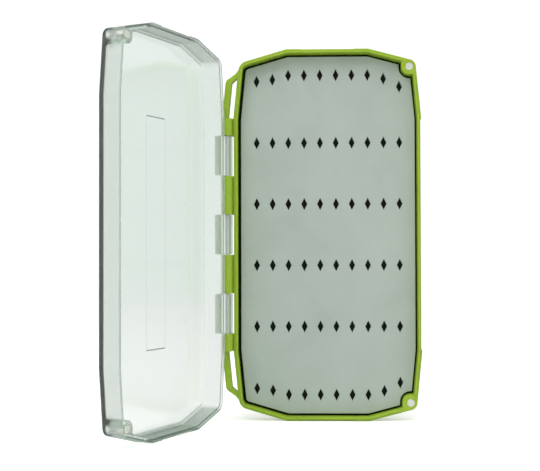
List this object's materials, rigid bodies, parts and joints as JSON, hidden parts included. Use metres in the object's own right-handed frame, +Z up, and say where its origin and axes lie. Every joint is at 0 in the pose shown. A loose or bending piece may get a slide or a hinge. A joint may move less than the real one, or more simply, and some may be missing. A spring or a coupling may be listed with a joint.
{
  "type": "fly box",
  "caption": "Pocket fly box with a clear lid on a knuckle pin hinge, corner magnets, lanyard loops and a slit silicone insert for hooks.",
  "frame": {"origin": "middle of the flat short end that the case stands on, half-way through the base's depth", "axes": "+Z up along the case and the hinge axis; +Y out of the base's back, so the open case faces -Y; +X from the hinge wall towards the latch wall"},
  "size_m": [0.1138, 0.0792, 0.1452],
  "materials": {
    "base_shell": "moulded ABS, satin",
    "lid_shell": "clear moulded polycarbonate, pale grey-green tint",
    "silicone_insert": "matt moulded silicone",
    "foam_backing": "closed-cell EVA foam",
    "hinge_pin": "drawn stainless steel",
    "magnets": "nickel-plated neodymium"
  },
  "bodies": {
    "base": {"base_shell": "base_shell", "silicone_insert": "silicone_insert", "foam_backing": "foam_backing", "hinge_pin": "hinge_pin", "base_magnet_top": "magnets", "base_magnet_bottom": "magnets"},
    "lid": {"lid_shell": "lid_shell", "lid_magnet_top": "magnets", "lid_magnet_bottom": "magnets"}
  },
  "joints": [
    {"name": "lid_hinge", "type": "hinge", "parent": "base", "child": "lid", "pos_m": [-0.039, -0.005, 0.0726], "axis": [0, 0, -1], "range_deg": [-113.7, 66.3]}
  ]
}
